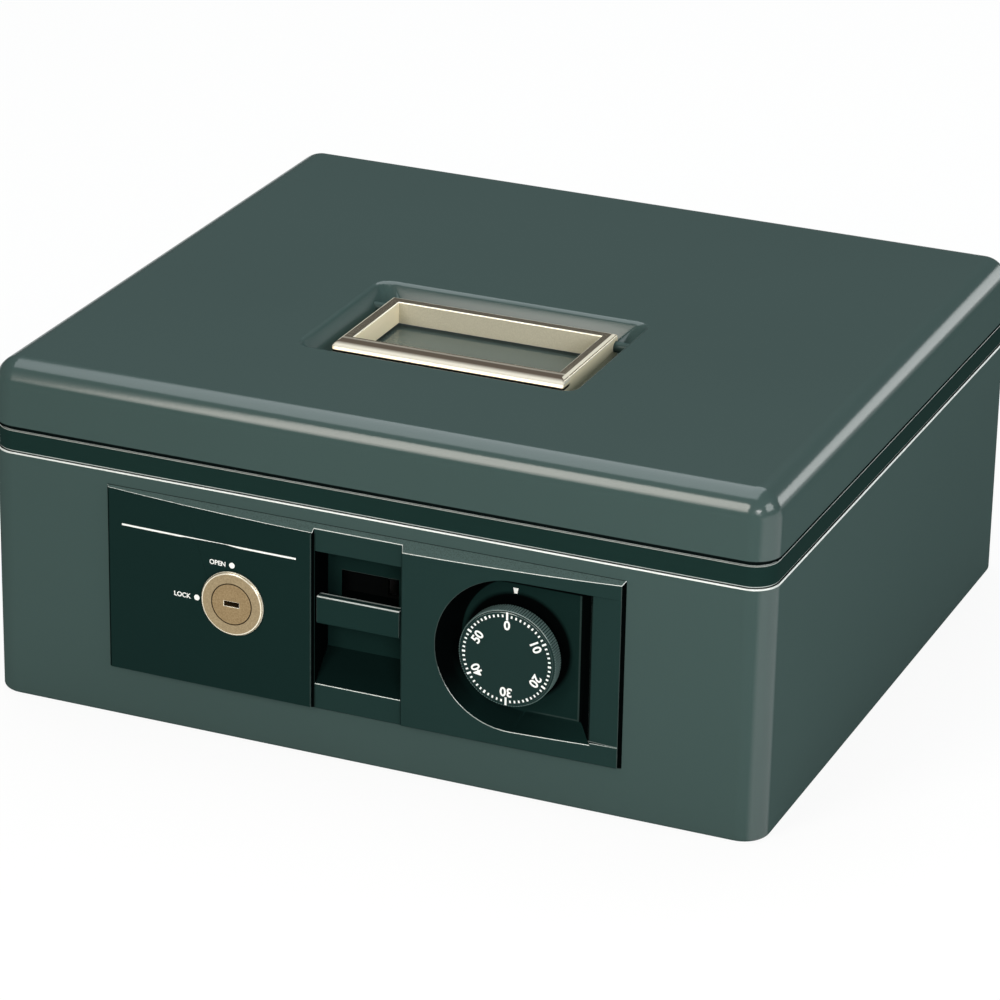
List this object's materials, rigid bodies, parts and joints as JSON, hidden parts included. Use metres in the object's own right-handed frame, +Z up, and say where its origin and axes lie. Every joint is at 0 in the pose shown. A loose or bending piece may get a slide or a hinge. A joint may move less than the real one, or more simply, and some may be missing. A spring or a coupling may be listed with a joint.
{
  "type": "cash box",
  "caption": "Lockable steel cash box: hinged lid with a fold-down ring handle, front lock panel with key cylinder, number dial and finger lever, coin tray inside.",
  "frame": {"origin": "middle of the flat base, on the surface that the box stands on", "axes": "+Z up; the lock panel faces -Y and the hinges are at +Y; +X is to the right of someone who faces the lock panel"},
  "size_m": [0.3, 0.2795, 0.13],
  "materials": {
    "green_paint": "satin grey-green baked enamel",
    "dark_plastic": "fine-textured dark green moulding",
    "legend_film": "smooth dark plate",
    "tray_plastic": "dark grey moulding",
    "brass": "brushed champagne plating",
    "champagne_metal": "satin and polished champagne plating",
    "steel": "zinc-plated steel"
  },
  "bodies": {
    "box": {"body_shell": "green_paint", "rim_frame": "dark_plastic", "lock_panel": "dark_plastic", "legend_plate": "legend_film", "lock_cylinder": "brass", "cylinder_nut": "steel", "lock_plate": "steel", "lock_plate_screws": "steel", "slide_guides": "steel", "spring_post": "steel", "latch_spring": "steel", "pawl_pin": "steel", "dial_bush": "steel", "lock_case": "steel", "lock_case_rivets": "steel", "hinge_body_leaves": "steel", "hinge_body_rivets": "steel", "hinge_pins": "steel", "coin_tray": "tray_plastic"},
    "lid": {"lid_shell": "green_paint", "lid_strike": "steel", "hinge_lid_leaves": "steel", "hinge_lid_rivets": "steel"},
    "handle": {"handle": "champagne_metal", "handle_pins": "steel"},
    "key_plug": {"lock_plug": "brass", "lock_cam": "steel", "cam_screw": "steel"},
    "dial": {"dial_knob": "dark_plastic", "dial_spindle": "steel", "drive_wheel": "steel", "spindle_nut": "steel"},
    "wheel_front": {"wheel_front": "steel"},
    "wheel_rear": {"wheel_rear": "steel"},
    "latch": {"latch_lever": "dark_plastic", "slide_plate": "steel"},
    "pawl": {"latch_pawl": "steel"}
  },
  "joints": [
    {"name": "lid_hinge", "type": "hinge", "parent": "box", "child": "lid", "pos_m": [0, 0.1376, 0.10455], "axis": [-1, 0, 0], "range_deg": [0, 100]},
    {"name": "handle_hinge", "type": "hinge", "parent": "lid", "child": "handle", "pos_m": [-0.0025, -0.0102, 0.12385], "axis": [-1, 0, 0], "range_deg": [0, 90]},
    {"name": "key_turn", "type": "hinge", "parent": "box", "child": "key_plug", "pos_m": [-0.0505, -0.13, 0.0549], "axis": [0, 1, 0], "range_deg": [0, 90]},
    {"name": "dial_turn", "type": "hinge", "parent": "box", "child": "dial", "pos_m": [0.0559, -0.125, 0.0549], "axis": [0, 1, 0], "continuous": true},
    {"name": "wheel_front_turn", "type": "hinge", "parent": "box", "child": "wheel_front", "pos_m": [0.0559, -0.12, 0.0549], "axis": [0, 1, 0], "continuous": true},
    {"name": "wheel_rear_turn", "type": "hinge", "parent": "box", "child": "wheel_rear", "pos_m": [0.0559, -0.12, 0.0549], "axis": [0, 1, 0], "continuous": true},
    {"name": "lever_slide", "type": "slide", "parent": "box", "child": "latch", "axis": [0, 0, 1], "range_m": [0, 0.0075], "stiffness_N_per_m": 150, "springref_m": -0.006, "deforming": ["latch_spring"]},
    {"name": "pawl_swing", "type": "hinge", "parent": "box", "child": "pawl", "pos_m": [0.0165, -0.12, 0.08], "axis": [0, 1, 0], "range_deg": [0, 22.5]}
  ],
  "couplings": [
    {"joint": "pawl_swing", "follows": "lever_slide", "rad_per_m": 52}
  ]
}
